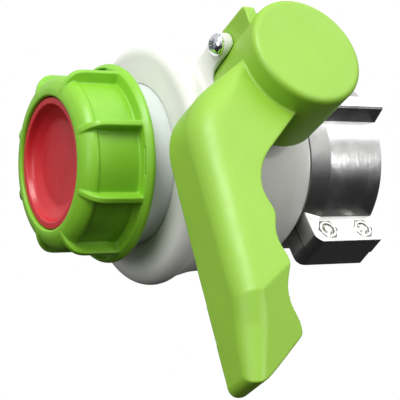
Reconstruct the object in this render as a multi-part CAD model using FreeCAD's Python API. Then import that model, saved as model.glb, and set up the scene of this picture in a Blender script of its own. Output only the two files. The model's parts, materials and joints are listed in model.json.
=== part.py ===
import FreeCAD, Part
import math
import os
from FreeCAD import Vector as V

# DN50 ball valve for an intermediate bulk container, closed, with its outlet
# capped by a union nut and plug, and a two-piece clamp on its tank side.
#
# Frame: the pipe axis is the Y axis, +Y into the tank, -Y out of the outlet.
# The stem points to +Z, the closed lever to +X. The origin is on the pipe axis
# in the plane of the clamp's tank-side face.
# Shapes are drawn about the ball's centre and shifted once, when exported.

# ---------------------------------------------------------------- dimensions
BALL_TO_FACE = 65.0      # ball centre to the clamp's tank-side face

# ball and passage
BALL_R = 31.5
BALL_BORE_R = 22.5
PORT_R = 24.0
CHAMBER_R = 38.0
CHAMBER_HALF = 19.0
SLOT_W = 8.0             # drive slot across the top of the ball
SLOT_L = 20.6
SLOT_BOTTOM_Z = 25.4

# valve body
BODY_FRONT_Y = -33.0
BULGE_R = 49.0
HOUSING_R = 44.0
REAR_STEP_Y = 17.0
REAR_STEP_R = 42.5
CONE_END_Y = 30.0
CONE_END_R = 33.4
NECK_R = 29.5
FLANGE_R = 32.8
FLANGE_Y0 = 38.5
FLANGE_Y1 = 44.0
SPIGOT_R = 32.3          # collar, and the spigot's male end in the body
SEAT_R = 29.3
SEAT_POCKET_R = 29.5
SEAT_POCKET_Y = 25.5
TOWER_R = 16.0
TOWER_TOP_Z = 58.0
STEM_BORE_R = 9.0

# lug that carries the safety screw
LUG_X0, LUG_X1 = -19.6, -10.1
LUG_Y0, LUG_Y1 = -23.0, -19.3
LUG_EYE_Z = 63.4
HUB_CLEAR_R = 23.2

# outlet spigot
SPIGOT_FACE_Y = -62.6
THREAD_R = 30.0
THREAD_ROOT_R = 28.2
THREAD_PITCH = 6.0
COLLAR_FRONT_Y = -44.2

# union nut
NUT_FRONT_Y = -71.4
NUT_REAR_Y = -44.8
NUT_MOUTH_R = 26.0
NUT_WALL_R = 33.4
NUT_RIM_R = 39.5
NUT_RIM_T = 3.6
NUT_BORE_R = 30.4
NUT_LIP_BACK_Y = -67.4
NUT_RIBS = 8
NUT_RIB_W = 2.6
NUT_RIB_PHASE = 38.6     # degrees from +X towards +Z

# outlet plug
PLUG_FRONT_Y = -70.4
PLUG_R = 25.7
PLUG_FLANGE_R = 29.4
PLUG_FLANGE_Y0, PLUG_FLANGE_Y1 = -67.3, -65.2

# stem
STEM_R = 8.95
STEM_FLANGE_R = 12.0
STEM_FLANGE_Z0, STEM_FLANGE_Z1 = 32.6, 35.4
STEM_SQUARE = 11.6
STEM_SQUARE_Z0, STEM_TOP_Z = 60.0, 76.0

# handle
HUB_R = 22.8
HUB_IN_R = 19.3
HUB_Z0, HUB_Z1 = 52.8, 84.7
HUB_ROOF_Z = 80.0
HUB_BOSS_R = 12.0
LEVER_Z0, LEVER_Z1 = 51.0, 75.0
LEVER_ARCH_R, LEVER_ARCH_Z = 31.5, 69.2
LEVER_WALL = 2.7
FIN_X0, FIN_Y0, FIN_T, FIN_TOP_Z, FIN_Z0 = -22.0, -18.9, 4.5, 80.0, 47.0

# tank clamp (turned about the pipe axis by CLAMP_TILT)
CLAMP_TILT = 9.1
CLAMP_Y0, CLAMP_Y1 = 30.8, 65.0
CLAMP_FRONT_R = 33.4
CLAMP_CONE_Y = 38.5
CLAMP_R = 36.0
CLAMP_NECK_R = 30.0
CLAMP_GROOVE_R = 33.3
CLAMP_GROOVE_Y0, CLAMP_GROOVE_Y1 = 38.2, 61.0
CLAMP_LIP_R = 28.5
CLAMP_GAP = 0.5
EAR_X = 47.3
EAR_H = 9.0
EAR_CORNER_R = 5.0
BOLT_X = 41.3
BOLT_YS = (39.4, 57.4)
BOLT_R = 2.45
BOLT_HOLE_R = 2.7
NUT_AF = 8.0
POCKET_AF = 8.5
POCKET_DEPTH = 3.4

Y_AXIS = V(0, 1, 0)
Z_AXIS = V(0, 0, 1)
O = V(0, 0, 0)


# ------------------------------------------------------------------- helpers
def lathe_y(points):
    """Closed profile of (y, r) turned about the pipe axis."""
    pts = [V(0, y, r) for y, r in points]
    face = Part.Face(Part.makePolygon(pts + [pts[0]]))
    return face.revolve(O, Y_AXIS, 360)


def lathe_z(points):
    """Closed profile of (r, z) turned about the stem axis."""
    pts = [V(r, 0, z) for r, z in points]
    face = Part.Face(Part.makePolygon(pts + [pts[0]]))
    return face.revolve(O, Z_AXIS, 360)


def cyl_y(r, y0, y1, x=0.0, z=0.0):
    return Part.makeCylinder(r, y1 - y0, V(x, y0, z), Y_AXIS)


def cyl_z(r, z0, z1, x=0.0, y=0.0):
    return Part.makeCylinder(r, z1 - z0, V(x, y, z0), Z_AXIS)


def box(x0, x1, y0, y1, z0, z1):
    return Part.makeBox(x1 - x0, y1 - y0, z1 - z0, V(x0, y0, z0))


def prism_z(pts, z0, z1):
    w = [V(x, y, z0) for x, y in pts]
    return Part.Face(Part.makePolygon(w + [w[0]])).extrude(V(0, 0, z1 - z0))


def prism_y(pts, y0, y1):
    w = [V(x, y0, z) for x, z in pts]
    return Part.Face(Part.makePolygon(w + [w[0]])).extrude(V(0, y1 - y0, 0))


def hexagon_z(af, z0, z1, x, y, turn=0.0):
    r = af / math.sqrt(3.0)
    pts = []
    for i in range(6):
        a = math.radians(60 * i + turn)
        pts.append((x + r * math.cos(a), y + r * math.sin(a)))
    return prism_z(pts, z0, z1)


def about_y(shape, degrees):
    """Turn about the pipe axis; positive goes from +X towards +Z."""
    s = shape.copy()
    s.rotate(O, Y_AXIS, -degrees)
    return s


def try_fillet(shape, radius, edges):
    """Round the listed edges, keeping the sharp shape if the kernel refuses."""
    if not edges:
        return shape
    try:
        s = shape.makeFillet(radius, edges)
        if s.isValid() and len(s.Solids) == 1 and s.Volume > 0:
            return s.Solids[0]
    except Exception:
        pass
    print("fillet", radius, "kept sharp on", len(edges), "edges")
    return shape


def edges_where(shape, test):
    found = []
    for e in shape.Edges:
        try:
            a, b = e.ParameterRange
            p = e.valueAt(0.5 * (a + b))
        except Exception:
            continue
        if test(e, p):
            found.append(e)
    return found


def circle_edges(shape, axis, r, pos, tol=0.06):
    """Circular edges about the pipe or stem axis with radius r at pos."""
    found = []
    for e in shape.Edges:
        c = e.Curve
        if c.TypeId != "Part::GeomCircle" or abs(c.Radius - r) > tol:
            continue
        p = c.Center
        if axis == "y" and abs(p.y - pos) < tol and abs(p.x) < tol and abs(p.z) < tol:
            found.append(e)
        if axis == "z" and abs(p.z - pos) < tol and abs(p.x) < tol and abs(p.y) < tol:
            found.append(e)
    return found


def arc_points(cx, cy, r, a0, a1, n):
    return [(cx + r * math.cos(math.radians(a0 + (a1 - a0) * i / n)),
             cy + r * math.sin(math.radians(a0 + (a1 - a0) * i / n))) for i in range(n + 1)]


nodes = {}

# ---------------------------------------------------------------- valve body
def make_body():
    # outer skin: front face, rounded bulge, sloping back, housing, rear cone,
    # neck and flange. The curved parts are smooth arcs and one spline.
    f = BODY_FRONT_Y
    shoulder_r = 5.6
    c_y, c_r = f + shoulder_r, BULGE_R - shoulder_r
    p0 = V(0, f, SPIGOT_R)
    p1 = V(0, f, c_r)
    mid = V(0, c_y - shoulder_r * math.cos(math.radians(45)), c_r + shoulder_r * math.sin(math.radians(45)))
    p2 = V(0, c_y, BULGE_R)
    back = [V(0, c_y, BULGE_R), V(0, -24.0, 47.75), V(0, -18.0, 45.75), V(0, -12.0, 44.5),
            V(0, -5.0, HOUSING_R), V(0, 6.0, 43.7), V(0, REAR_STEP_Y, REAR_STEP_R)]
    spline = Part.BSplineCurve()
    spline.interpolate(back, InitialTangent=V(0, 1, 0), FinalTangent=V(0, 1, -0.16))
    p3 = V(0, REAR_STEP_Y, REAR_STEP_R)
    cone_mid = V(0, 24.3, 38.9)
    p4 = V(0, CONE_END_Y, CONE_END_R)
    outer = [
        Part.LineSegment(p0, p1).toShape(),
        Part.Arc(p1, mid, p2).toShape(),
        spline.toShape(),
        Part.Arc(p3, cone_mid, p4).toShape(),
    ]
    inner = [p4, V(0, CONE_END_Y, NECK_R), V(0, FLANGE_Y0, NECK_R), V(0, FLANGE_Y0, FLANGE_R),
             V(0, FLANGE_Y1, FLANGE_R), V(0, FLANGE_Y1, PORT_R), V(0, SEAT_POCKET_Y, PORT_R),
             V(0, SEAT_POCKET_Y, SEAT_POCKET_R), V(0, CHAMBER_HALF, SEAT_POCKET_R),
             V(0, CHAMBER_HALF, CHAMBER_R), V(0, -CHAMBER_HALF, CHAMBER_R),
             V(0, -CHAMBER_HALF, SPIGOT_R), p0]
    for a, b in zip(inner[:-1], inner[1:]):
        outer.append(Part.LineSegment(a, b).toShape())
    shell = Part.Face(Part.Wire(outer)).revolve(O, Y_AXIS, 360)

    # stem tower and screw lug, standing on the housing
    tower = cyl_z(TOWER_R, 39.6, TOWER_TOP_Z)
    base = lathe_z([(0, 39.6), (19.6, 39.6), (17.6, 43.6), (16.4, 45.6), (15.0, 46.0), (0, 46.0)])
    cx = 0.5 * (LUG_X0 + LUG_X1)
    hw = 0.5 * (LUG_X1 - LUG_X0)
    yf = LUG_Y0
    top = Part.Arc(V(LUG_X0, yf, LUG_EYE_Z), V(cx, yf, LUG_EYE_Z + hw), V(LUG_X1, yf, LUG_EYE_Z)).toShape()
    left = Part.BSplineCurve()
    left.interpolate([V(LUG_X0 - 3.0, yf, 40.0), V(LUG_X0 - 1.4, yf, 43.6), V(LUG_X0, yf, 49.0)], FinalTangent=V(0, 0, 3))
    right = Part.BSplineCurve()
    right.interpolate([V(LUG_X1, yf, 60.4), V(LUG_X1 + 0.35, yf, 58.2), V(LUG_X1 + 1.4, yf, 55.7), V(-6.8, yf, 53.7), V(-3.6, yf, 52.2),
                       V(1.2, yf, 51.0), V(6.2, yf, 48.6)], InitialTangent=V(0, 0, -2))
    edges = [left.toShape(), Part.LineSegment(V(LUG_X0, yf, 49.0), V(LUG_X0, yf, LUG_EYE_Z)).toShape(), top,
             Part.LineSegment(V(LUG_X1, yf, LUG_EYE_Z), V(LUG_X1, yf, 60.4)).toShape(), right.toShape(),
             Part.LineSegment(V(6.2, yf, 48.6), V(8.6, yf, 40.0)).toShape(),
             Part.LineSegment(V(8.6, yf, 40.0), V(LUG_X0 - 3.0, yf, 40.0)).toShape()]
    lug = Part.Face(Part.Wire(edges)).extrude(V(0, LUG_Y1 - LUG_Y0, 0))
    lug = lug.cut(cyl_z(HUB_CLEAR_R, HUB_Z0 - 0.5, 90.0))
    lug = lug.cut(lathe_y([(-40, 0), (40, 0), (40, 40.0), (-40, 40.0)]))
    lug = max(lug.Solids, key=lambda s: s.Volume)

    body = shell.fuse([tower, base, lug])
    # the chamber's roof is opened for the stem, with a seat for its flange
    body = body.cut(cyl_z(STEM_FLANGE_R + 0.4, 25.0, 36.8))
    body = body.cut(cyl_z(STEM_BORE_R, 30.0, TOWER_TOP_Z + 1))
    # the parts of tower and lug that reach into the chamber are cleared
    body = body.cut(cyl_y(CHAMBER_R, -CHAMBER_HALF, CHAMBER_HALF))
    body = body.cut(cyl_y(SPIGOT_R, BODY_FRONT_Y - 1, -CHAMBER_HALF))
    # pilot hole of the safety screw
    body = body.cut(cyl_y(2.25, LUG_Y0 - 3, LUG_Y1 + 1.0, cx, LUG_EYE_Z))
    body = body.removeSplitter()
    body = max(body.Solids, key=lambda s: s.Volume)

    # small rounding where the lug meets the body and along the lug's rim
    e = edges_where(body, lambda e, p: abs(p.y - LUG_Y0) < 0.02 and p.z > 47.6 and p.x < 5.5
                    and not (e.Curve.TypeId == "Part::GeomCircle" and abs(e.Curve.Radius - 2.25) < 0.01))
    body = try_fillet(body, 0.7, e)
    e = circle_edges(body, "z", TOWER_R, TOWER_TOP_Z)
    body = try_fillet(body, 0.8, e)
    return body


nodes["valve_body"] = make_body()


# ------------------------------------------------------------ outlet spigot
def make_spigot():
    pts = [(SPIGOT_FACE_Y, PORT_R + 0.6), (SPIGOT_FACE_Y, THREAD_ROOT_R - 0.4)]
    y = SPIGOT_FACE_Y + 0.8
    pts.append((y, THREAD_ROOT_R))
    start = SPIGOT_FACE_Y + 1.4
    for i in range(3):
        a = start + i * THREAD_PITCH * 0.86
        pts += [(a, THREAD_ROOT_R), (a + 0.9, THREAD_R), (a + 2.3, THREAD_R), (a + 3.2, THREAD_ROOT_R)]
    pts += [(COLLAR_FRONT_Y, THREAD_ROOT_R), (COLLAR_FRONT_Y, SPIGOT_R - 0.5), (COLLAR_FRONT_Y + 0.5, SPIGOT_R),
            (BODY_FRONT_Y, SPIGOT_R), (BODY_FRONT_Y, SPIGOT_R - 0.1), (-27.9, SPIGOT_R - 0.1),
            (-27.9, 30.2), (-25.1, 30.2), (-25.1, SPIGOT_R - 0.1), (-CHAMBER_HALF - 0.1, SPIGOT_R - 0.1),
            (-CHAMBER_HALF - 0.1, SEAT_POCKET_R), (-SEAT_POCKET_Y, SEAT_POCKET_R), (-SEAT_POCKET_Y, PORT_R),
            (SPIGOT_FACE_Y + 0.6, PORT_R)]
    return lathe_y(pts)


nodes["outlet_spigot"] = make_spigot()
nodes["spigot_oring"] = Part.makeTorus(31.05, 0.8, V(0, -26.5, 0), Y_AXIS)


# --------------------------------------------------------------- ball seats
def make_seat(side):
    pts = [(17.6, 24.0), (17.6, SEAT_R), (23.0, SEAT_R), (23.0, 23.2), (19.0, 23.2)]
    s = lathe_y([(17.6, 23.2), (17.6, SEAT_R), (22.4, SEAT_R), (23.0, SEAT_R - 0.6), (23.0, 23.2)])
    s = s.cut(Part.makeSphere(BALL_R + 0.3, O))
    s = max(s.Solids, key=lambda k: k.Volume)
    if side < 0:
        s = s.mirror(O, Y_AXIS)
    return s


nodes["rear_seat"] = make_seat(+1)
nodes["front_seat"] = make_seat(-1)
nodes["rear_seat_oring"] = Part.makeTorus(26.6, 1.15, V(0, 24.24, 0), Y_AXIS)
nodes["front_seat_oring"] = Part.makeTorus(26.6, 1.15, V(0, -24.24, 0), Y_AXIS)


# --------------------------------------------------------------------- ball
def make_ball():
    b = Part.makeSphere(BALL_R, O)
    b = b.cut(Part.makeCylinder(BALL_BORE_R, 80, V(-40, 0, 0), V(1, 0, 0)))
    b = b.cut(box(-SLOT_W / 2, SLOT_W / 2, -SLOT_L / 2, SLOT_L / 2, SLOT_BOTTOM_Z, 40))
    b = max(b.Solids, key=lambda k: k.Volume)
    e = edges_where(b, lambda e, p: abs(math.hypot(p.y, p.z) - BALL_BORE_R) < 0.05 and abs(p.x) > 20)
    return try_fillet(b, 0.8, e)


nodes["ball"] = make_ball()


# --------------------------------------------------------------------- stem
SCREW_Z = 68.0           # handle screw axis
SCREW_ANGLE = 105.0      # its direction from the stem axis


def radial_cyl(r, d0, d1, z, angle):
    a = math.radians(angle)
    u = V(math.cos(a), math.sin(a), 0)
    return Part.makeCylinder(r, d1 - d0, V(u.x * d0, u.y * d0, z), u)


def square_prism(side, z0, z1, angle):
    s = box(-side / 2, side / 2, -side / 2, side / 2, z0, z1)
    s.rotate(O, Z_AXIS, angle)
    return s


def make_stem():
    s = lathe_z([(0, STEM_FLANGE_Z0), (STEM_FLANGE_R, STEM_FLANGE_Z0), (STEM_FLANGE_R, STEM_FLANGE_Z1),
                 (STEM_R, STEM_FLANGE_Z1), (STEM_R, 42.6), (7.2, 42.6), (7.2, 45.4), (STEM_R, 45.4),
                 (STEM_R, 49.6), (7.2, 49.6), (7.2, 52.4), (STEM_R, 52.4), (STEM_R, STEM_SQUARE_Z0), (0, STEM_SQUARE_Z0)])
    tongue = box(-SLOT_W / 2 + 0.2, SLOT_W / 2 - 0.2, -SLOT_L / 2 + 0.4, SLOT_L / 2 - 0.4, SLOT_BOTTOM_Z + 0.4, STEM_FLANGE_Z0)
    top = square_prism(STEM_SQUARE, STEM_SQUARE_Z0, STEM_TOP_Z, SCREW_ANGLE)
    s = s.fuse([tongue, top])
    s = s.cut(radial_cyl(2.5, 1.0, 12, SCREW_Z, SCREW_ANGLE))
    return max(s.Solids, key=lambda k: k.Volume)


nodes["stem"] = make_stem()
nodes["stem_orings"] = Part.makeCompound([Part.makeTorus(7.95, 0.72, V(0, 0, 44.0), Z_AXIS),
                                          Part.makeTorus(7.95, 0.72, V(0, 0, 51.0), Z_AXIS)])
nodes["stem_thrust_washer"] = lathe_z([(9.15, 35.42), (11.9, 35.42), (11.9, 36.5), (9.15, 36.5)])


# ------------------------------------------------------------------- handle
# Plan of the lever's outer outline: neck left edge, elbow, front wall, pointed
# end, finger grooves on the tank side, neck right edge.
ELBOW = (17.0, -49.8)
ELBOW_R = 29.0
FRONT_END = (115.0, -52.6)
END_POINTS = [(117.0, -52.25), (118.4, -51.2), (119.0, -49.3), (118.6, -46.6), (116.9, -43.7), (114.4, -40.3), (111.2, -36.2), (108.0, -32.2)]
GRIP_POINTS = [(38.4, -25.0), (42.2, -28.0), (46.9, -30.4), (52.2, -31.6), (57.4, -30.9), (62.0, -29.7), (67.1, -31.1), (71.3, -31.8), (76.2, -31.0),
               (80.6, -29.9), (85.0, -31.1), (89.5, -32.2), (93.5, -31.7), (97.8, -29.4), (101.0, -27.8), (103.6, -27.5), (105.6, -29.1)]
NECK_LEFT = (-3.8, -22.1)
NECK_RIGHT = (21.5, -7.0)
NECK_RIGHT2 = (36.5, -23.1)


def corner_arc(p, c, q, r, n=None):
    """Tangent arc of radius r that replaces corner c between p and q."""
    v1 = V(p[0] - c[0], p[1] - c[1], 0)
    v2 = V(q[0] - c[0], q[1] - c[1], 0)
    v1.normalize()
    v2.normalize()
    half = 0.5 * math.acos(max(-1, min(1, v1.dot(v2))))
    t = r / math.tan(half)
    a = V(c[0], c[1], 0) + v1 * t
    b = V(c[0], c[1], 0) + v2 * t
    bis = v1 + v2
    bis.normalize()
    centre = V(c[0], c[1], 0) + bis * (r / math.sin(half))
    m = centre - bis * r
    return a, m, b


def lever_wire(z):
    """Outline of the lever at height z."""
    a1, m1, b1 = corner_arc(NECK_LEFT, ELBOW, FRONT_END, ELBOW_R)
    up = V(0, 0, z)
    front_end = V(FRONT_END[0], FRONT_END[1], 0) + up
    neck_right = V(NECK_RIGHT2[0], NECK_RIGHT2[1], 0) + up
    start = V(-8.0, -10.9, 0) + up
    root = V(12.0, 3.2, 0) + up
    edges = [Part.LineSegment(V(0, 0, 0) + up, start).toShape(),
             Part.LineSegment(start, a1 + up).toShape(),
             Part.Arc(a1 + up, m1 + up, b1 + up).toShape(),
             Part.LineSegment(b1 + up, front_end).toShape()]
    tip = Part.BSplineCurve()
    tip.interpolate([front_end] + [V(x, y, 0) + up for x, y in END_POINTS + GRIP_POINTS[::-1]] + [neck_right])
    edges.append(tip.toShape())
    edges.append(Part.LineSegment(neck_right, root).toShape())
    edges.append(Part.LineSegment(root, V(0, 0, 0) + up).toShape())
    return Part.Wire(edges)


FACET_SLOPE = 22.8
FACET_N = V(0.836, 0.548, 0)     # plan direction that the end facet falls towards
FACET_D = 51.6                   # distance of the crease from the stem axis along FACET_N


def facet_block(drop):
    """Everything above the sloped end facet, lowered by drop."""
    n = FACET_N
    t = V(-n.y, n.x, 0)
    s = math.tan(math.radians(FACET_SLOPE))
    p = n * FACET_D + V(0, 0, LEVER_Z1 - drop)
    L = 90.0
    a = p - n * 0.0
    b = p + n * L + V(0, 0, -s * L)
    c = p + n * L + V(0, 0, 40)
    d = p + V(0, 0, 40)
    face = Part.Face(Part.makePolygon([a, b, c, d, a]))
    face.translate(t * -160)
    return face.extrude(t * 320)


# radius of the soft top edge: at the hub, round the elbow, at the crease, at the tip
EDGE_R_HUB, EDGE_R_ELBOW, EDGE_R_CREASE, EDGE_R_TIP = 1.4, 10.5, 8.6, 4.6


def edge_section(x, y, z, inward, tilt, r, inset):
    """Waste beyond a rounded top edge: wall below (x, y, z), top face going
    inward with a downward tilt. A positive inset moves it into the lever."""
    off = 0.03
    rr = max(r - inset, 0.3)
    e = 2.0 + inset
    theta = math.radians(90.0 - tilt)
    t = rr / math.tan(theta / 2)
    c, sn = math.cos(math.radians(tilt)), math.sin(math.radians(tilt))
    k = inset / math.sin(theta)

    def at(s_, h):
        s_ = s_ - off + inset
        h = h + off - k - inset * math.tan(math.radians(tilt)) * 0.0
        return V(x + inward[0] * s_, y + inward[1] * s_, z + h)

    p_top = (t * c, -t * sn)
    p_wall = (0.0, -t)
    bx, bz = c, -sn - 1.0
    n = math.hypot(bx, bz)
    bx, bz = bx / n, bz / n
    centre = (bx * rr / math.sin(theta / 2), bz * rr / math.sin(theta / 2))
    mid = (centre[0] - bx * rr, centre[1] - bz * rr)
    q = [(-e, -t), (-e, e + 1.0), (t * c, e + 1.0)]
    edges = [Part.Arc(at(*p_top), at(*mid), at(*p_wall)).toShape(),
             Part.LineSegment(at(*p_wall), at(*q[0])).toShape(), Part.LineSegment(at(*q[0]), at(*q[1])).toShape(),
             Part.LineSegment(at(*q[1]), at(*q[2])).toShape(), Part.LineSegment(at(*q[2]), at(*p_top)).toShape()]
    return Part.Wire(edges)


def edge_waste(inset=0.0):
    """Solids to cut away along neck edge, elbow, front wall and end facet."""
    a1, m1, b1 = corner_arc(NECK_LEFT, ELBOW, FRONT_END, ELBOW_R)
    z = LEVER_Z1
    u = V(NECK_LEFT[0] - ELBOW[0], NECK_LEFT[1] - ELBOW[1], 0)
    u.normalize()
    d = V(FRONT_END[0] - ELBOW[0], FRONT_END[1] - ELBOW[1], 0)
    d.normalize()
    in_neck = (-u.y, u.x) if (-u.y * 1.0) > 0 else (u.y, -u.x)
    in_front = (-d.y, d.x)
    hub_end = V(NECK_LEFT[0], NECK_LEFT[1], 0) + u * 7.0
    slope = math.tan(math.radians(FACET_SLOPE))

    def wall(x):
        k = (x - b1.x) / d.x
        return V(x, b1.y + d.y * k, 0)

    def facet_z(p):
        return z - slope * (p.dot(FACET_N) - FACET_D)

    tilt = math.degrees(math.atan(slope * (FACET_N.x * in_front[0] + FACET_N.y * in_front[1])))
    crease_x = (FACET_D - FACET_N.y * b1.y) / FACET_N.x + 0.6
    out = []
    s0 = edge_section(hub_end.x, hub_end.y, z, in_neck, 0.0, EDGE_R_HUB, inset)
    s1 = edge_section(a1.x, a1.y, z, in_neck, 0.0, EDGE_R_ELBOW, inset)
    out.append(Part.makeLoft([s0, s1], True, True))
    # round the elbow
    t = ELBOW_R / (b1 - V(ELBOW[0], ELBOW[1], 0)).Length
    normal = V(in_neck[0], in_neck[1], 0)
    centre = a1 + normal * ELBOW_R
    a0 = math.degrees(math.atan2(a1.y - centre.y, a1.x - centre.x))
    a2 = math.degrees(math.atan2(b1.y - centre.y, b1.x - centre.x))
    out.append(Part.Face(s1).revolve(centre, Z_AXIS, a2 - a0))
    s2 = edge_section(b1.x, b1.y, z, in_front, 0.0, EDGE_R_ELBOW, inset)
    p = wall(crease_x - 5.0)
    s3 = edge_section(p.x, p.y, z, in_front, 0.0, EDGE_R_CREASE, inset)
    out.append(Part.makeLoft([s2, s3], True, True))
    p = wall(crease_x + 5.0)
    s4 = edge_section(p.x, p.y, facet_z(p), in_front, tilt, EDGE_R_CREASE - 0.6, inset)
    out.append(Part.makeLoft([s3, s4], True, True))
    p = wall(FRONT_END[0] + 8.0)
    s5 = edge_section(p.x, p.y, facet_z(p), in_front, tilt, EDGE_R_TIP, inset)
    out.append(Part.makeLoft([s4, s5], True, True))
    return out


def make_handle():
    lever = Part.Face(lever_wire(LEVER_Z0)).extrude(V(0, 0, LEVER_Z1 - LEVER_Z0))
    lever = lever.cut(facet_block(0.0))
    lever = max(lever.Solids, key=lambda k: k.Volume)
    for i, waste in enumerate(edge_waste()):
        trimmed = lever.cut(waste)
        if trimmed.isValid() and 0.8 * lever.Volume < trimmed.Volume < lever.Volume:
            lever = max(trimmed.Solids, key=lambda k: k.Volume)
        else:
            print("edge rounding", i, "left out")
    hub_outer = cyl_z(HUB_R, HUB_Z0, HUB_Z1)
    e = circle_edges(hub_outer, "z", HUB_R, HUB_Z1)
    hub_outer = try_fillet(hub_outer, 2.4, e)

    # fin beside the screw lug
    fin = prism_y([(FIN_X0, FIN_Z0 + 2.5), (FIN_X0 + 1.5, FIN_Z0), (-13.2, FIN_Z0), (-8, HUB_Z0 + 1.0), (-8, FIN_TOP_Z)]
                  + arc_points(FIN_X0 + 2.2, FIN_TOP_Z - 2.2, 2.2, 90, 180, 8), FIN_Y0, FIN_Y0 + FIN_T)

    # pockets that core the lever from below
    pockets = []
    core = prism_z([(5.0, -28.0), (14.2, -40.2), (17.6, -42.8), (21.6, -44.9), (27.0, -46.2), (60.0, -47.9), (100.0, -49.2), (113.0, -49.6),
                    (115.4, -47.3), (113.4, -42.5), (106.6, -33.0), (104.0, -31.2), (100.6, -31.4), (96.0, -33.8), (92.0, -35.2),
                    (87.0, -35.2), (81.0, -33.2), (75.0, -34.8), (67.5, -34.8), (62.0, -33.2), (56.0, -34.6), (49.0, -34.4),
                    (42.0, -31.2), (37.0, -27.0), (30.0, -18.0), (16.0, -12.0)], LEVER_Z0 - 1, LEVER_Z1 - 3.2)
    core = core.cut(cyl_z(LEVER_ARCH_R + 3.0, 40, 90))
    core = core.cut(facet_block(3.2 / math.cos(math.radians(FACET_SLOPE))))
    for waste in edge_waste(2.9):
        core = core.cut(waste)
    # cross ribs and one rib along the grip keep every pocket small
    web = 1.8
    ribs = []
    x = 33.0
    while x < 118:
        ribs.append(box(x, x + web, -70, 0, 40, 90))
        x += 11.5
    ribs.append(prism_z([(8, -44.2), (34, -40.6), (122, -42.2), (122, -42.2 + web), (34, -40.6 + web), (8, -44.2 + web)], 40, 90))
    ribs.append(prism_z([(8, -35.0), (33, -31.2), (33, -31.2 + web), (8, -35.0 + web)], 40, 90))
    rib = ribs[0].fuse(ribs[1:])
    core = core.cut(rib)
    solids = [s for s in core.Solids if s.Volume > 60]
    for s in solids:
        pockets.append(s)

    h = hub_outer.fuse([lever, fin])
    h = h.removeSplitter()
    # arch under the neck that passes over the screw lug
    ring = cyl_z(LEVER_ARCH_R, 40, LEVER_ARCH_Z).cut(cyl_z(HUB_R, HUB_Z0, 90))
    wedge = prism_z([(0, 0), (-14, -60), (60, -60), (60, 20), (12, 8)], 30, LEVER_ARCH_Z + 1)
    h = h.cut(ring.common(wedge))
    h = h.cut(pockets)
    # hollow hub, with a boss for the stem's square and a web for the screw
    hollow = cyl_z(HUB_IN_R, 40.0, HUB_ROOF_Z)
    boss = cyl_z(HUB_BOSS_R, STEM_SQUARE_Z0 + 0.1, HUB_ROOF_Z + 0.5)
    a = math.radians(SCREW_ANGLE)
    arm = box(0, HUB_IN_R + 1.0, -6.0, 6.0, STEM_SQUARE_Z0 + 0.1, HUB_ROOF_Z + 0.5)
    arm.rotate(O, Z_AXIS, SCREW_ANGLE)
    web1 = box(0, HUB_IN_R + 0.5, -1.1, 1.1, STEM_SQUARE_Z0 + 0.1, HUB_ROOF_Z + 0.5)
    keep = boss.fuse(arm)
    for k in (0, 1, 2):
        w = web1.copy()
        w.rotate(O, Z_AXIS, SCREW_ANGLE + 90 + 90 * k)
        keep = keep.fuse(w)
    hollow = hollow.cut(keep)
    h = h.cut(hollow)
    h = h.cut(square_prism(STEM_SQUARE + 0.1, STEM_SQUARE_Z0 - 1, STEM_TOP_Z + 0.5, SCREW_ANGLE))
    h = h.cut(radial_cyl(2.5, 2.0, 30, SCREW_Z, SCREW_ANGLE))
    h = h.cut(radial_cyl(4.8, HUB_R - 2.9, 30, SCREW_Z, SCREW_ANGLE))
    h = max(h.Solids, key=lambda k: k.Volume)
    return h


nodes["handle"] = make_handle()


def pan_screw(head_r, head_h, shank_r, length):
    """Pan-head cross-recess screw along +Z: head from 0 up, shank downwards."""
    prof = [V(0, 0, head_h)]
    e = []
    rim = V(head_r, 0, 0.35 * head_h)
    top = V(0, 0, head_h)
    midp = V(head_r * 0.72, 0, head_h * 0.84)
    wire = Part.Wire([Part.LineSegment(V(0, 0, 0), V(head_r - 0.15, 0, 0)).toShape(),
                      Part.LineSegment(V(head_r - 0.15, 0, 0), V(head_r, 0, 0.2)).toShape(),
                      Part.LineSegment(V(head_r, 0, 0.2), rim).toShape(),
                      Part.Arc(rim, midp, top).toShape(),
                      Part.LineSegment(top, V(0, 0, 0)).toShape()])
    head = Part.Face(wire).revolve(O, Z_AXIS, 360)
    shank = Part.makeCylinder(shank_r, length, V(0, 0, -length), Z_AXIS)
    tip = Part.makeCone(shank_r, shank_r * 0.5, 1.0, V(0, 0, -length), V(0, 0, -1)) if length > 6 else None
    s = head.fuse([shank, tip]) if tip else head.fuse(shank)
    depth = head_h * 0.62
    for k in (0, 1):
        w = head_r * 0.17
        l = head_r * 0.56
        c = Part.makeBox(2 * l, 2 * w, depth + 1, V(-l, -w, head_h - depth))
        c.rotate(O, Z_AXIS, 90 * k + 20)
        s = s.cut(c)
    s = s.cut(Part.makeCone(head_r * 0.12, head_r * 0.36, depth, V(0, 0, head_h - depth), Z_AXIS))
    return max(s.Solids, key=lambda k: k.Volume)


def place(shape, origin, direction):
    """Stand a shape drawn along +Z at origin, pointing along direction."""
    s = shape.copy()
    s.Placement = FreeCAD.Placement(origin, FreeCAD.Rotation(Z_AXIS, direction)).multiply(s.Placement)
    return s


# safety screw: head on the lug's front, its tip inside the lug
cx = 0.5 * (LUG_X0 + LUG_X1)
nodes["safety_screw"] = place(pan_screw(4.4, 3.0, 2.15, LUG_Y1 - LUG_Y0 - 0.1), V(cx, LUG_Y0 - 0.02, LUG_EYE_Z), V(0, -1, 0))
# handle screw: through the hub into the stem's square
a = math.radians(SCREW_ANGLE)
u = V(math.cos(a), math.sin(a), 0)
d = HUB_R - 2.88
nodes["handle_screw"] = place(pan_screw(4.3, 2.5, 2.42, d - 3.2), V(u.x * d, u.y * d, SCREW_Z), u)


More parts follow.
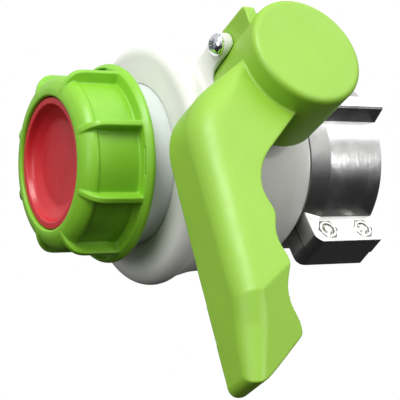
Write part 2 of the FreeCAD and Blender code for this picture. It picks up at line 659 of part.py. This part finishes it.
# ---------------------------------------------------------------- union nut
def make_union_nut():
    f = NUT_FRONT_Y
    rim_y = NUT_REAR_Y - NUT_RIM_T
    front = [V(0, f, NUT_MOUTH_R + 0.6), V(0, -71.2, 28.6), V(0, -70.4, 30.6), V(0, -69.1, 32.4), V(0, -67.6, 33.5), V(0, -66.0, 33.95)]
    s = Part.BSplineCurve()
    s.interpolate(front, InitialTangent=V(0, 0, 1), FinalTangent=V(0, 1, 0.12))
    e = [s.toShape()]
    ring = [V(0, -66.0, 33.95), V(0, -65.7, 33.9), V(0, -65.4, NUT_WALL_R), V(0, rim_y, NUT_WALL_R), V(0, rim_y, NUT_RIM_R - 1.6),
            V(0, rim_y + 0.3, NUT_RIM_R - 1.2), V(0, rim_y + 1.7, NUT_RIM_R - 0.2), V(0, rim_y + 2.2, NUT_RIM_R), V(0, NUT_REAR_Y - 0.5, NUT_RIM_R), V(0, NUT_REAR_Y, NUT_RIM_R - 0.5),
            V(0, NUT_REAR_Y, NUT_BORE_R + 0.6), V(0, NUT_REAR_Y - 0.6, NUT_BORE_R), V(0, NUT_LIP_BACK_Y, NUT_BORE_R),
            V(0, NUT_LIP_BACK_Y, NUT_MOUTH_R), V(0, f + 0.5, NUT_MOUTH_R), V(0, f, NUT_MOUTH_R + 0.6)]
    for a, b in zip(ring[:-1], ring[1:]):
        e.append(Part.LineSegment(a, b).toShape())
    nut = Part.Face(Part.Wire(e)).revolve(O, Y_AXIS, 360)
    # one rib, pointing to +Z
    nose = [V(0, f + 0.12, 28.0), V(0, -71.0, 30.2), V(0, -70.5, 31.7), V(0, -69.6, 33.7), V(0, -67.8, 36.2), V(0, -65.7, 37.6), V(0, -63.2, 38.15), V(0, -61.0, 38.2)]
    s = Part.BSplineCurve()
    s.interpolate(nose, InitialTangent=V(0, 0.1, 2), FinalTangent=V(0, 2, 0))
    e = [s.toShape()]
    back = [nose[-1], V(0, rim_y + 0.9, 38.2), V(0, rim_y + 0.9, 31.6), V(0, -66.8, 31.4), V(0, -69.0, 28.6), nose[0]]
    for a, b in zip(back[:-1], back[1:]):
        e.append(Part.LineSegment(a, b).toShape())
    rib = Part.Face(Part.Wire(e)).extrude(V(NUT_RIB_W, 0, 0))
    rib.translate(V(-NUT_RIB_W / 2, 0, 0))
    round_edges = edges_where(rib, lambda k, p: p.z > 34.5 and abs(abs(p.x) - NUT_RIB_W / 2) < 0.01)
    rib = try_fillet(rib, 0.6, round_edges)
    ribs = []
    for i in range(NUT_RIBS):
        ang = NUT_RIB_PHASE + i * 360.0 / NUT_RIBS
        ribs.append(about_y(rib, ang - 90.0))
    nut = nut.fuse(ribs)
    nut = nut.removeSplitter()
    # short lock slots in the front of the rim, between ribs
    slots = []
    slot = cyl_y(37.65, rim_y - 1, rim_y + 2.0).cut(cyl_y(36.85, rim_y - 2, rim_y + 3.0))
    half = 8.7
    t = math.tan(math.radians(half)) * 60
    wedge = prism_y([(0, 0), (60, -t), (60, t)], rim_y - 3, rim_y + 4)
    slot = slot.common(wedge)
    for i in (0, 2, 4, 6):
        slots.append(about_y(slot, NUT_RIB_PHASE + 22.5 + i * 45.0))
    nut = nut.cut(slots)
    return max(nut.Solids, key=lambda k: k.Volume)


nodes["union_nut"] = make_union_nut()


# -------------------------------------------------------------- outlet plug
def make_plug():
    f = PLUG_FRONT_Y
    e = []
    p = [V(0, f + 0.5, PLUG_R), V(0, f, PLUG_R - 0.6), V(0, f, 23.2)]
    dish = [V(0, f, 23.2), V(0, f + 0.35, 22.6), V(0, f + 1.5, 21.9), V(0, f + 2.9, 21.0), V(0, f + 4.1, 19.3), V(0, f + 4.8, 16.6), V(0, f + 5.05, 12.0), V(0, f + 5.1, 6.0), V(0, f + 5.1, 0.0)]
    for a, b in zip(p[:-1], p[1:]):
        e.append(Part.LineSegment(a, b).toShape())
    s = Part.BSplineCurve()
    s.interpolate(dish, InitialTangent=V(0, 0.1, -1), FinalTangent=V(0, 0, -1))
    e.append(s.toShape())
    rest = [V(0, f + 5.1, 0), V(0, f + 7.6, 0), V(0, f + 7.6, 22.6), V(0, PLUG_FLANGE_Y1, 23.0), V(0, PLUG_FLANGE_Y1, PLUG_FLANGE_R),
            V(0, PLUG_FLANGE_Y0, PLUG_FLANGE_R), V(0, PLUG_FLANGE_Y0, PLUG_R), V(0, f + 0.5, PLUG_R)]
    for a, b in zip(rest[:-1], rest[1:]):
        e.append(Part.LineSegment(a, b).toShape())
    return Part.Face(Part.Wire(e)).revolve(O, Y_AXIS, 360)


nodes["outlet_plug"] = make_plug()
nodes["plug_gasket"] = lathe_y([(-65.18, 24.7), (-65.18, 29.3), (SPIGOT_FACE_Y - 0.05, 29.3), (SPIGOT_FACE_Y - 0.05, 24.7)])
nodes["tank_gasket"] = lathe_y([(44.02, 24.5), (44.02, 32.6), (47.0, 32.6), (47.0, 24.5)])


# --------------------------------------------------------------- tank clamp
def ear(sign, z0, z1, x_out):
    """One clamp ear, in the clamp's own frame, with a round front corner."""
    r = EAR_CORNER_R
    y0, y1 = 31.2, CLAMP_Y1
    pts = [(28.0, y0), (x_out - r, y0)] + arc_points(x_out - r, y0 + r, r, -90, 0, 10)[1:]
    pts += [(x_out, y1 - 0.8), (x_out - 0.8, y1), (28.0, y1)]
    pts = [(sign * x, y) for x, y in pts]
    return prism_z(pts, z0, z1)


def clamp_ring():
    return lathe_y([(CLAMP_Y0, CLAMP_NECK_R), (CLAMP_Y0, CLAMP_FRONT_R), (CLAMP_CONE_Y, CLAMP_R), (CLAMP_Y1 - 0.5, CLAMP_R),
                    (CLAMP_Y1, CLAMP_R - 0.5), (CLAMP_Y1, CLAMP_LIP_R), (CLAMP_GROOVE_Y1, CLAMP_LIP_R),
                    (CLAMP_GROOVE_Y1, CLAMP_GROOVE_R), (CLAMP_GROOVE_Y0, CLAMP_GROOVE_R), (CLAMP_GROOVE_Y0, CLAMP_NECK_R)])


def clamp_core():
    """Everything inside the clamp that has to stay open."""
    return lathe_y([(20, 0), (20, CLAMP_NECK_R), (CLAMP_GROOVE_Y0, CLAMP_NECK_R), (CLAMP_GROOVE_Y0, CLAMP_GROOVE_R),
                    (CLAMP_GROOVE_Y1, CLAMP_GROOVE_R), (CLAMP_GROOVE_Y1, CLAMP_LIP_R), (80, CLAMP_LIP_R), (80, 0)])


def make_clamp(upper):
    g = CLAMP_GAP / 2
    ring = clamp_ring()
    if upper:
        half = ring.common(box(-80, 80, 0, 100, g, 80))
        ears = [ear(1, g, EAR_H, EAR_X), ear(-1, g, EAR_H, EAR_X)]
        rib = prism_y([(-1.2, 30.0), (-1.9, 42.9), (-1.2, 43.6), (4.0, 43.6), (4.7, 42.9), (5.6, 35.6), (6.6, 34.6), (6.6, 30.0)], 34.0, CLAMP_Y1 - 0.3)
        half = half.fuse(ears + [rib])
    else:
        half = ring.common(box(-80, 80, 0, 100, -80, -g))
        ears = [ear(1, -EAR_H, -g, EAR_X - 0.6), ear(-1, -EAR_H, -g, EAR_X - 0.6)]
        half = half.fuse(ears)
    half = half.cut(clamp_core())
    for sx in (1, -1):
        for y in BOLT_YS:
            half = half.cut(cyl_z(BOLT_HOLE_R, -20, 20, sx * BOLT_X, y))
            if upper:
                half = half.cut(hexagon_z(POCKET_AF, EAR_H - POCKET_DEPTH, EAR_H + 5, sx * BOLT_X, y, 30))
            else:
                half = half.cut(cyl_z(4.5, -EAR_H - 5, -EAR_H + 4.6, sx * BOLT_X, y))
    half = half.removeSplitter()
    half = max(half.Solids, key=lambda k: k.Volume)
    zt = EAR_H if upper else -EAR_H
    e = edges_where(half, lambda e, p: abs(p.z - zt) < 0.01 and abs(p.x) > 34.5 and p.y < 64.9 and e.Length > 2
                    and not any(math.hypot(abs(p.x) - BOLT_X, p.y - y) < 5.4 for y in BOLT_YS)
                    and abs(abs(p.x) - 34.8) > 0.9)
    half = try_fillet(half, 0.6, e)
    return about_y(half, CLAMP_TILT)


nodes["clamp_upper"] = make_clamp(True)
nodes["clamp_lower"] = make_clamp(False)


def clamp_bolts(sign):
    out = []
    for y in BOLT_YS:
        x = sign * BOLT_X
        z_head = -EAR_H + 4.6
        shank = cyl_z(BOLT_R, z_head, EAR_H - 0.2, x, y)
        dome = Part.makeCone(BOLT_R, BOLT_R - 0.9, 0.55, V(x, y, EAR_H - 0.2), Z_AXIS)
        head = cyl_z(4.25, z_head - 4.5, z_head, x, y)
        e = [k for k in head.Edges if k.Curve.TypeId == "Part::GeomCircle" and k.Curve.Center.z < z_head - 4]
        head = try_fillet(head, 0.4, e)
        s = shank.fuse([dome, head])
        s = s.cut(hexagon_z(4.0, z_head - 5, z_head - 2.2, x, y, 0))
        out.append(max(s.Solids, key=lambda k: k.Volume))
    return about_y(Part.makeCompound(out), CLAMP_TILT)


def clamp_nuts(sign):
    out = []
    for y in BOLT_YS:
        x = sign * BOLT_X
        z0 = EAR_H - POCKET_DEPTH + 0.02
        z1 = EAR_H + 0.25
        n = hexagon_z(NUT_AF, z0, z1, x, y, 30)
        # round chamfer on the top face
        bevel = Part.makeCone(NUT_AF * 0.5 + 1.4, NUT_AF * 0.5 - 0.1, 1.0, V(x, y, z1 - 1.0), Z_AXIS)
        keep = cyl_z(8, z0 - 1, z1 - 0.999, x, y).fuse(bevel)
        n = n.common(keep)
        n = n.cut(cyl_z(BOLT_R + 0.05, z0 - 1, z1 + 1, x, y))
        n = n.cut(Part.makeCone(BOLT_R + 0.05, BOLT_R + 0.5, 0.45, V(x, y, z1 - 0.45), Z_AXIS))
        out.append(max(n.Solids, key=lambda k: k.Volume))
    return about_y(Part.makeCompound(out), CLAMP_TILT)


nodes["clamp_bolts_right"] = clamp_bolts(1)
nodes["clamp_bolts_left"] = clamp_bolts(-1)
nodes["clamp_nuts_right"] = clamp_nuts(1)
nodes["clamp_nuts_left"] = clamp_nuts(-1)


# ------------------------------------------------------------------- export
os.makedirs("parts", exist_ok=True)
shift = V(0, -BALL_TO_FACE, 0)
for name, shape in nodes.items():
    s = shape.copy()
    s.translate(shift)
    ok = s.isValid()
    print("%-20s solids %d  valid %s  volume %.0f mm3" % (name, len(s.Solids), ok, s.Volume))
    s.exportStep("parts/%s.step" % name)
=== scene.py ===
import json
import math

import bmesh
import bpy
import numpy as np
from mathutils import Matrix, Vector


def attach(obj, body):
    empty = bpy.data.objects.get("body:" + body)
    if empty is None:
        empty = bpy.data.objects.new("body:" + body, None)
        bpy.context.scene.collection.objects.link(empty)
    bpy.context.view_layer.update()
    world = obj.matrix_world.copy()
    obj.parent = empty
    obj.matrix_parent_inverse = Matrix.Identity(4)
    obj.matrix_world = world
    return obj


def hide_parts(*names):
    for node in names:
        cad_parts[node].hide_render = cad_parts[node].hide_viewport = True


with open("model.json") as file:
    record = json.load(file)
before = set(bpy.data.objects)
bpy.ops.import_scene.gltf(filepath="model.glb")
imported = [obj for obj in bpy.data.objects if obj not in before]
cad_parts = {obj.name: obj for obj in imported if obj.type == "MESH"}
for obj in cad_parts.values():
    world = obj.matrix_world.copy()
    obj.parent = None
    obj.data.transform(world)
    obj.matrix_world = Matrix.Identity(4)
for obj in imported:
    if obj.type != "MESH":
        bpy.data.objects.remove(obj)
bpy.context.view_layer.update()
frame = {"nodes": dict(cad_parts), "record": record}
MM = 0.001
YB = -65.0          # the ball's centre on the pipe axis, mm
scene = bpy.context.scene


# ---------------------------------------------------------------- mesh tools
def link(name, verts, faces, smooth=True):
    me = bpy.data.meshes.new(name)
    me.from_pydata([tuple(v) for v in verts], [], [tuple(f) for f in faces])
    me.update()
    me.validate()
    ob = bpy.data.objects.new(name, me)
    scene.collection.objects.link(ob)
    if smooth:
        me.shade_smooth()
    return ob


def welded(node, name):
    """A copy of a CAD node's surface as one welded mesh."""
    src = frame["nodes"][node].data
    bm = bmesh.new()
    bm.from_mesh(src)
    bmesh.ops.remove_doubles(bm, verts=bm.verts, dist=2e-6)
    verts = [v.co[:] for v in bm.verts]
    for i, v in enumerate(bm.verts):
        v.index = i
    faces = [[v.index for v in f.verts] for f in bm.faces]
    bm.free()
    return link(name, verts, faces)


def apply_modifiers(ob):
    dg = bpy.context.evaluated_depsgraph_get()
    me = bpy.data.meshes.new_from_object(ob.evaluated_get(dg))
    old = ob.data
    ob.modifiers.clear()
    ob.data = me
    bpy.data.meshes.remove(old)
    me.shade_smooth()
    return ob


def remeshed(ob, voxel):
    m = ob.modifiers.new("r", "REMESH")
    m.mode = "VOXEL"
    m.voxel_size = voxel
    m.adaptivity = 0.0
    return apply_modifiers(ob)


def coords(ob):
    n = len(ob.data.vertices)
    co = np.empty(n * 3, np.float32)
    ob.data.vertices.foreach_get("co", co)
    return co.reshape(-1, 3).astype(float)


def set_coords(ob, co):
    ob.data.vertices.foreach_set("co", co.astype(np.float32).ravel())
    ob.data.update()


def relax(ob, rounds, weight=None, lam=0.5, mu=-0.52, shrink=False):
    """Laplacian smoothing; Taubin's second pass keeps the volume unless shrink."""
    me = ob.data
    e = np.empty(len(me.edges) * 2, np.int32)
    me.edges.foreach_get("vertices", e)
    e = e.reshape(-1, 2)
    co = coords(ob)
    n = len(co)
    a = np.concatenate([e[:, 0], e[:, 1]])
    b = np.concatenate([e[:, 1], e[:, 0]])
    deg = np.maximum(np.bincount(a, minlength=n), 1).astype(float)
    w = np.ones(n) if weight is None else weight(co / MM)
    for _ in range(rounds):
        for k in ((lam,) if shrink else (lam, mu)):
            avg = np.stack([np.bincount(a, co[b, i], n) for i in range(3)], 1) / deg[:, None]
            co += (avg - co) * (k * w)[:, None]
    set_coords(ob, co)
    return ob


def smooth_step(x, lo_, hi_):
    t = np.clip((x - lo_) / (hi_ - lo_), 0, 1)
    return t * t * (3 - 2 * t)


def stand_for(ob, node, body):
    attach(ob, body)
    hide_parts(node)
    return ob


def lathe(name, profile, n=256, closed=True):
    """Profile of (y, r) in mm about the pipe axis, turned into a closed skin."""
    p = np.array(profile, float)
    m = len(p)
    ang = np.linspace(0, 2 * math.pi, n, endpoint=False)
    verts = []
    for a in ang:
        for y, r in p:
            verts.append((r * math.cos(a) * MM, (y + YB) * MM, r * math.sin(a) * MM))
    faces = []
    for i in range(n):
        j = (i + 1) % n
        for k in range(m if closed else m - 1):
            q = (k + 1) % m
            faces.append((i * m + k, i * m + q, j * m + q, j * m + k))
    ob = link(name, verts, faces)
    bm = bmesh.new()
    bm.from_mesh(ob.data)
    bmesh.ops.remove_doubles(bm, verts=bm.verts, dist=1e-7)
    bmesh.ops.dissolve_degenerate(bm, edges=bm.edges, dist=1e-8)
    bmesh.ops.recalc_face_normals(bm, faces=bm.faces)
    bm.to_mesh(ob.data)
    bm.free()
    ob.data.shade_smooth()
    return ob


def rounded(points, radius, steps=5):
    """Polyline (closed) with every corner replaced by a small arc."""
    out = []
    m = len(points)
    for i in range(m):
        p0, p1, p2 = (np.array(points[(i + k) % m][:2], float) for k in (-1, 0, 1))
        r = points[i][2] if len(points[i]) > 2 else radius
        a, b = p0 - p1, p2 - p1
        la, lb = np.linalg.norm(a), np.linalg.norm(b)
        if la < 1e-9 or lb < 1e-9 or r <= 0:
            out.append(tuple(p1))
            continue
        a, b = a / la, b / lb
        c = float(np.clip(a @ b, -1, 1))
        ang = math.acos(c)
        if ang > math.pi - 0.05:
            out.append(tuple(p1))
            continue
        t = min(r / math.tan(ang / 2), la * 0.45, lb * 0.45)
        rr = t * math.tan(ang / 2)
        cen = p1 + (a + b) / np.linalg.norm(a + b) * (rr / math.sin(ang / 2))
        s, e = p1 + a * t, p1 + b * t
        a0, a1 = math.atan2(*(s - cen)[::-1]), math.atan2(*(e - cen)[::-1])
        d = (a1 - a0 + math.pi) % (2 * math.pi) - math.pi
        for k in range(steps + 1):
            w = a0 + d * k / steps
            out.append((cen[0] + rr * math.cos(w), cen[1] + rr * math.sin(w)))
    return out


def dense(points, step, closed=True):
    """The same outline with extra points so that no span is longer than step."""
    out = []
    m = len(points)
    for i in range(m if closed else m - 1):
        p, q = np.array(points[i], float), np.array(points[(i + 1) % m], float)
        k = max(1, int(math.ceil(np.linalg.norm(q - p) / step)))
        out += [tuple(p + (q - p) * j / k) for j in range(k)]
    if not closed:
        out.append(tuple(points[-1]))
    return out


# ----------------------------------------------------------------- materials
def srgb(r, g, b):
    return tuple((c / 12.92 if c <= 0.04045 else ((c + 0.055) / 1.055) ** 2.4) for c in (r / 255, g / 255, b / 255)) + (1.0,)


class Mat:
    """A node material on a Principled shader."""

    def __init__(self, name):
        self.m = bpy.data.materials.new(name)
        self.m.use_nodes = True
        self.t = self.m.node_tree
        self.s = self.t.nodes["Principled BSDF"]
        self.coord = self.new("ShaderNodeTexCoord").outputs["Object"]

    def new(self, kind, **props):
        n = self.t.nodes.new(kind)
        for k, v in props.items():
            setattr(n, k, v)
        return n

    def join(self, a, b):
        self.t.links.new(a, b)

    def set(self, **kw):
        for k, v in kw.items():
            self.s.inputs[k.replace("_", " ")].default_value = v

    def noise(self, scale, detail=3.0, rough=0.5, stretch=None, distortion=0.0):
        n = self.new("ShaderNodeTexNoise")
        n.inputs["Scale"].default_value = scale
        n.inputs["Detail"].default_value = detail
        n.inputs["Roughness"].default_value = rough
        n.inputs["Distortion"].default_value = distortion
        if stretch:
            mp = self.new("ShaderNodeMapping")
            mp.inputs["Scale"].default_value = stretch
            self.join(self.coord, mp.inputs["Vector"])
            self.join(mp.outputs["Vector"], n.inputs["Vector"])
        else:
            self.join(self.coord, n.inputs["Vector"])
        return n.outputs["Fac"]

    def ramp(self, fac, stops):
        r = self.new("ShaderNodeValToRGB")
        el = r.color_ramp.elements
        while len(el) > 1:
            el.remove(el[-1])
        el[0].position, el[0].color = stops[0]
        for pos, col in stops[1:]:
            x = el.new(pos)
            x.color = col
        self.join(fac, r.inputs["Fac"])
        return r.outputs["Color"]

    def span(self, fac, a0, a1, b0, b1):
        r = self.new("ShaderNodeMapRange")
        for k, v in zip(("From Min", "From Max", "To Min", "To Max"), (a0, a1, b0, b1)):
            r.inputs[k].default_value = v
        self.join(fac, r.inputs["Value"])
        return r.outputs["Result"]

    def math(self, op, a, b):
        n = self.new("ShaderNodeMath", operation=op)
        for k, v in enumerate((a, b)):
            if isinstance(v, (int, float)):
                n.inputs[k].default_value = v
            else:
                self.join(v, n.inputs[k])
        return n.outputs[0]

    def bump(self, height, strength, distance, normal=None):
        b = self.new("ShaderNodeBump")
        b.inputs["Strength"].default_value = strength
        b.inputs["Distance"].default_value = distance
        self.join(height, b.inputs["Height"])
        if normal is not None:
            self.join(normal, b.inputs["Normal"])
        self.last = b.outputs["Normal"]
        return self.last


def moulded(name, base, rough=0.42, vary=0.06, spec=0.5, sss=0.0, radius=(1, 0.6, 0.3), coat=0.0, bump=0.12, sss_scale=0.004):
    """Injection-moulded plastic: slight flow mottling, fine texture, faint scuffs."""
    k = Mat(name)
    r, g, b, _ = base
    dark = (r * (1 - vary), g * (1 - vary), b * (1 - vary), 1)
    light = (min(1, r * (1 + vary)), min(1, g * (1 + vary)), min(1, b * (1 + vary)), 1)
    flow = k.noise(38.0, 4.0, 0.55, distortion=0.6)
    k.join(k.ramp(flow, [(0.30, dark), (0.70, light)]), k.s.inputs["Base Color"])
    fine = k.noise(900.0, 3.0, 0.6)
    scuff = k.noise(160.0, 6.0, 0.65)
    k.join(k.span(scuff, 0.35, 0.65, rough - 0.05, rough + 0.07), k.s.inputs["Roughness"])
    both = k.math("ADD", fine, k.math("MULTIPLY", scuff, 1.6))
    k.join(k.bump(both, bump, 0.0002), k.s.inputs["Normal"])
    k.set(Specular_IOR_Level=spec, IOR=1.49)
    if sss:
        k.set(Subsurface_Weight=sss, Subsurface_Radius=radius, Subsurface_Scale=sss_scale)
    if coat:
        k.set(Coat_Weight=coat, Coat_Roughness=0.15)
    return k.m


def metal(name, base, rough, vary=0.08, streak=(60.0, 900.0, 60.0), bump=0.05, spots=0.0, metallic=1.0):
    """Bright metal with turning marks, smudges and fine scratches."""
    k = Mat(name)
    r, g, b, _ = base
    smudge = k.noise(55.0, 5.0, 0.6, distortion=0.4)
    dark = (r * (1 - vary), g * (1 - vary), b * (1 - vary), 1)
    k.join(k.ramp(smudge, [(0.32, dark), (0.62, (r, g, b, 1))]), k.s.inputs["Base Color"])
    lines = k.noise(1.0, 4.0, 0.6, stretch=streak)
    pits = k.noise(260.0, 6.0, 0.7)
    k.join(k.span(k.math("ADD", smudge, k.math("MULTIPLY", lines, 0.5)), 0.5, 1.0, rough * 0.7, rough * 1.4), k.s.inputs["Roughness"])
    h = k.math("ADD", k.math("MULTIPLY", lines, 0.5), k.math("MULTIPLY", pits, spots))
    k.join(k.bump(h, bump, 0.0003), k.s.inputs["Normal"])
    k.set(Metallic=metallic, IOR=1.5)
    return k.m


GREEN = (0.262, 0.500, 0.032, 1)
GREEN_NUT = (0.225, 0.53, 0.028, 1)
mats = {
    "green_handle": moulded("green_handle", GREEN, rough=0.46, vary=0.03, spec=0.75, sss=0.12, radius=(0.6, 1.0, 0.1)),
    "green_nut": moulded("green_nut", GREEN_NUT, rough=0.36, vary=0.04, spec=0.55, sss=0.12, radius=(0.5, 1.0, 0.1)),
    "white_body": moulded("white_body", (0.76, 0.765, 0.72, 1), rough=0.42, vary=0.015, sss=0.25, radius=(1, 1, 0.9), sss_scale=0.006),
    # spigot colour: its own white plastic, plus a cool bluish tint that is a painted reflection of the surroundings
    "white_spigot": moulded("white_spigot", (0.66, 0.70, 0.69, 1), rough=0.38, vary=0.02, sss=0.2, radius=(1, 1, 1), sss_scale=0.005),
    "red_plug": moulded("red_plug", (0.56, 0.016, 0.024, 1), rough=0.34, vary=0.06, spec=0.6, sss=0.1, radius=(1, 0.1, 0.1), coat=0.15),
    "seal_black": moulded("seal_black", (0.02, 0.02, 0.02, 1), rough=0.6, vary=0.15),
    "seat_white": moulded("seat_white", (0.8, 0.8, 0.78, 1), rough=0.35, vary=0.02),
    "ball_white": moulded("ball_white", (0.75, 0.76, 0.74, 1), rough=0.2, vary=0.02),
    "stem_white": moulded("stem_white", (0.7, 0.71, 0.69, 1), rough=0.4, vary=0.02),
    "screw_chrome": metal("screw_chrome", (0.82, 0.84, 0.88, 1), 0.12, vary=0.05, bump=0.03, spots=0.2),
    "clamp_metal": metal("clamp_metal", (0.80, 0.80, 0.79, 1), 0.20, vary=0.16, bump=0.12, spots=0.9),
    "bolt_steel": metal("bolt_steel", (0.70, 0.68, 0.65, 1), 0.18, vary=0.12, bump=0.08, spots=0.5),
}
slot_of = {s["node"]: s["material_slot"] for s in frame["record"]["subparts"]}
for node, ob in frame["nodes"].items():
    m = mats[slot_of[node]]
    if not ob.data.materials:
        ob.data.materials.append(m)
    for i in range(len(ob.data.materials)):
        ob.data.materials[i] = m


def dress(ob, slot):
    ob.data.materials.clear()
    ob.data.materials.append(mats[slot])


# -------------------------------------------------------------- handle
handle = remeshed(welded("handle", "handle_skin"), 0.42 * MM)
relax(handle, 5)
dress(handle, "green_handle")
stand_for(handle, "handle", "turning")

# -------------------------------------------------------------- valve body
body = remeshed(welded("valve_body", "body_skin"), 0.5 * MM)


def lug_foot(p):
    x, y, z = p[:, 0], p[:, 1] - YB, p[:, 2]
    r = np.hypot(x, z)
    near = smooth_step(x, -27, -23) * (1 - smooth_step(x, 2, 6)) * smooth_step(y, -31, -28) * (1 - smooth_step(y, -16, -13))
    return near * (1 - smooth_step(z, 52, 58)) * smooth_step(r, 42.5, 43.5)


relax(body, 4)
relax(body, 40, weight=lug_foot, shrink=True)
dress(body, "white_body")
stand_for(body, "valve_body", "housing")

# -------------------------------------------------------------- union nut
nut = remeshed(welded("union_nut", "union_nut_skin"), 0.34 * MM)
relax(nut, 4)
dress(nut, "green_nut")
stand_for(nut, "union_nut", "nut")

# -------------------------------------------------------------- outlet plug
f = -70.4
plug_profile = rounded([(f, 25.65, 0.5), (f - 0.0, 23.0, 0.9), (f + 2.6, 21.6, 3.2), (f + 4.8, 17.4, 6.0), (f + 5.12, 8.0, 0), (f + 5.12, 2.6, 0), (f + 5.12, 0.0, 0),
                        (f + 7.6, 0.0, 0), (f + 7.6, 22.6, 0.3), (-65.2, 23.0, 0), (-65.2, 29.35, 0.4), (-67.3, 29.35, 0.4), (-67.3, 25.65, 0.2)], 0.3, 10)
plug = lathe("outlet_plug_skin", dense(plug_profile, 1.2))
dress(plug, "red_plug")
stand_for(plug, "outlet_plug", "cap")

# ---------------------------------------------------------- stage and camera
def emission(name, colour, strength):
    m = bpy.data.materials.new(name)
    m.use_nodes = True
    t = m.node_tree
    t.nodes.remove(t.nodes["Principled BSDF"])
    e = t.nodes.new("ShaderNodeEmission")
    e.inputs["Color"].default_value = colour
    e.inputs["Strength"].default_value = strength
    t.links.new(e.outputs[0], t.nodes["Material Output"].inputs["Surface"])
    return m


def only_seen(ob):
    ob.visible_diffuse = False
    ob.visible_glossy = False
    ob.visible_transmission = False
    ob.visible_shadow = False
    ob.visible_volume_scatter = False


white = emission("pale_floor", (1.0, 1.0, 1.0, 1), 1.0)
floor = link("floor", [(-6, -6, -1.6), (6, -6, -1.6), (6, 6, -1.6), (-6, 6, -1.6)], [(0, 1, 2, 3)], smooth=False)
floor.data.materials.append(white)
only_seen(floor)
bm = bmesh.new()
bmesh.ops.create_uvsphere(bm, u_segments=48, v_segments=24, radius=5.0)
me = bpy.data.meshes.new("backdrop")
bm.to_mesh(me)
bm.free()
backdrop = bpy.data.objects.new("backdrop", me)
scene.collection.objects.link(backdrop)
me.materials.append(white)
only_seen(backdrop)

RIGHT = Vector((0.2527084405231762, 0.8569645378130889, 0.4491661441150066))
UP = Vector((-0.8774403205292659, 0.007355353201221937, 0.4796294222509543))
BACK = Vector((0.40772163052485116, -0.5153228887892366, 0.753793998577909))
EYE = Vector((233.98626343815604, -281.66906100355845 + YB, 401.50373614075164)) * MM
cam_data = bpy.data.cameras.new("camera")
cam = bpy.data.objects.new("camera", cam_data)
scene.collection.objects.link(cam)
cam_data.sensor_fit = "HORIZONTAL"
cam_data.sensor_width = 36.0
cam_data.lens = 1305.5047313359646 / 400.0 * 36.0
cam_data.clip_start = 0.02
cam_data.clip_end = 30.0
cam.matrix_world = Matrix(((RIGHT.x, UP.x, BACK.x, EYE.x), (RIGHT.y, UP.y, BACK.y, EYE.y), (RIGHT.z, UP.z, BACK.z, EYE.z), (0, 0, 0, 1)))
scene.camera = cam

# ------------------------------------------------------------------- lights
world = bpy.data.worlds.new("studio")
scene.world = world
world.use_nodes = True
wt = world.node_tree
bg = wt.nodes["Background"]
tc = wt.nodes.new("ShaderNodeTexCoord")
dot = wt.nodes.new("ShaderNodeVectorMath")
dot.operation = "DOT_PRODUCT"
dot.inputs[1].default_value = UP
wt.links.new(tc.outputs["Generated"], dot.inputs[0])
mr = wt.nodes.new("ShaderNodeMapRange")
mr.inputs["From Min"].default_value = -1
mr.inputs["From Max"].default_value = 1
wt.links.new(dot.outputs["Value"], mr.inputs["Value"])
cr = wt.nodes.new("ShaderNodeValToRGB")
el = cr.color_ramp.elements
el[0].position, el[0].color = 0.0, (0.02, 0.02, 0.02, 1)
el[1].position, el[1].color = 1.0, (1.0, 1.0, 1.0, 1)
for pos, v in ((0.36, 0.05), (0.5, 0.30), (0.66, 0.85)):
    x = el.new(pos)
    x.color = (v, v, v, 1)
wt.links.new(mr.outputs["Result"], cr.inputs["Fac"])
wt.links.new(cr.outputs["Color"], bg.inputs["Color"])
bg.inputs["Strength"].default_value = 0.78


def area(name, direction, distance, size, power, target=Vector((0.02, -0.075, 0.02))):
    l = bpy.data.lights.new(name, "AREA")
    l.shape = "DISK"
    l.size = size
    l.energy = power
    o = bpy.data.objects.new(name, l)
    scene.collection.objects.link(o)
    d = direction.normalized()
    o.location = target + d * distance
    o.rotation_euler = d.to_track_quat("Z", "Y").to_euler()
    return o


area("key", UP * 0.75 + BACK * 0.62 - RIGHT * 0.15, 1.6, 0.9, 19.5)
area("front", BACK * 0.8 - RIGHT * 0.6 + UP * 0.15, 1.8, 1.0, 6.0)
area("rear_fill", UP * 0.80 + RIGHT * 0.55 + BACK * 0.10, 1.6, 1.7, 8.0)
area("side_fill", RIGHT * 0.85 + BACK * 0.6 + UP * 0.1, 1.6, 0.7, 6.0)

scene.view_settings.view_transform = "Standard"
scene.view_settings.look = "None"
scene.view_settings.exposure = 0.0
scene.view_settings.gamma = 1.0
